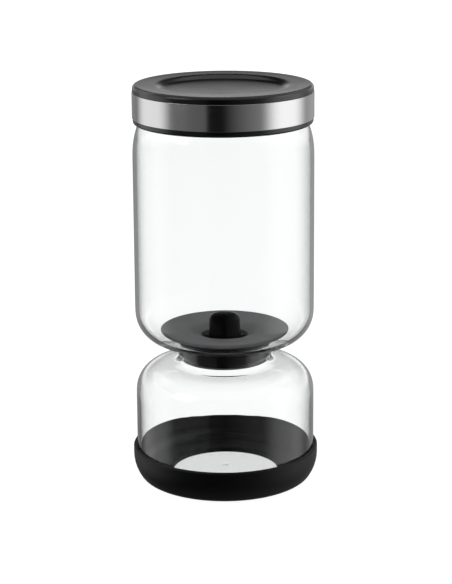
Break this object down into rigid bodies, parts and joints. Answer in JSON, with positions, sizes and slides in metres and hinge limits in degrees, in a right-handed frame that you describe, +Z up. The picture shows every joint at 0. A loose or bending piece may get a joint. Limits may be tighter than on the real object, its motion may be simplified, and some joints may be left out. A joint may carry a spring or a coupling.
{
  "type": "pickle keeper with lift strainer",
  "caption": "Hourglass glass pickle keeper: push-on lid with a steel band over an upper chamber, a lift-out strainer in the throat, a closed brine chamber below and a soft foot.",
  "frame": {"origin": "centre of the foot's underside, on the table, on the jar's axis", "axes": "+Z up along the jar's axis towards the lid; the jar is round, and the knob's arms lie along X and Y"},
  "size_m": [0.112, 0.112, 0.2412],
  "materials": {
    "silicone_foot": "matt",
    "borosilicate_glass": "clear polished",
    "strainer_plastic": "fine matt",
    "silicone_seal": "satin",
    "knob_plastic": "gloss",
    "sieve_steel": "punched",
    "lid_plastic": "satin",
    "band_steel": "brushed round the band"
  },
  "bodies": {
    "foot": {"foot": "silicone_foot"},
    "jar": {"glass_lower": "borosilicate_glass", "glass_upper": "borosilicate_glass"},
    "strainer": {"strainer_dish": "strainer_plastic", "neck_seal": "silicone_seal", "lift_knob": "knob_plastic", "sieve_disc": "sieve_steel"},
    "lid": {"lid_cap": "lid_plastic", "steel_band": "band_steel", "lid_base": "lid_plastic", "lid_seal": "silicone_seal"}
  },
  "joints": [
    {"name": "jar_out_of_foot", "type": "slide", "parent": "foot", "child": "jar", "axis": [0, 0, 1], "range_m": [0, 0.025]},
    {"name": "lid_off", "type": "slide", "parent": "jar", "child": "lid", "axis": [0, 0, 1], "range_m": [0, 0.05]},
    {"name": "strainer_lift", "type": "slide", "parent": "jar", "child": "strainer", "axis": [0, 0, 1], "range_m": [0, 0.115]}
  ]
}
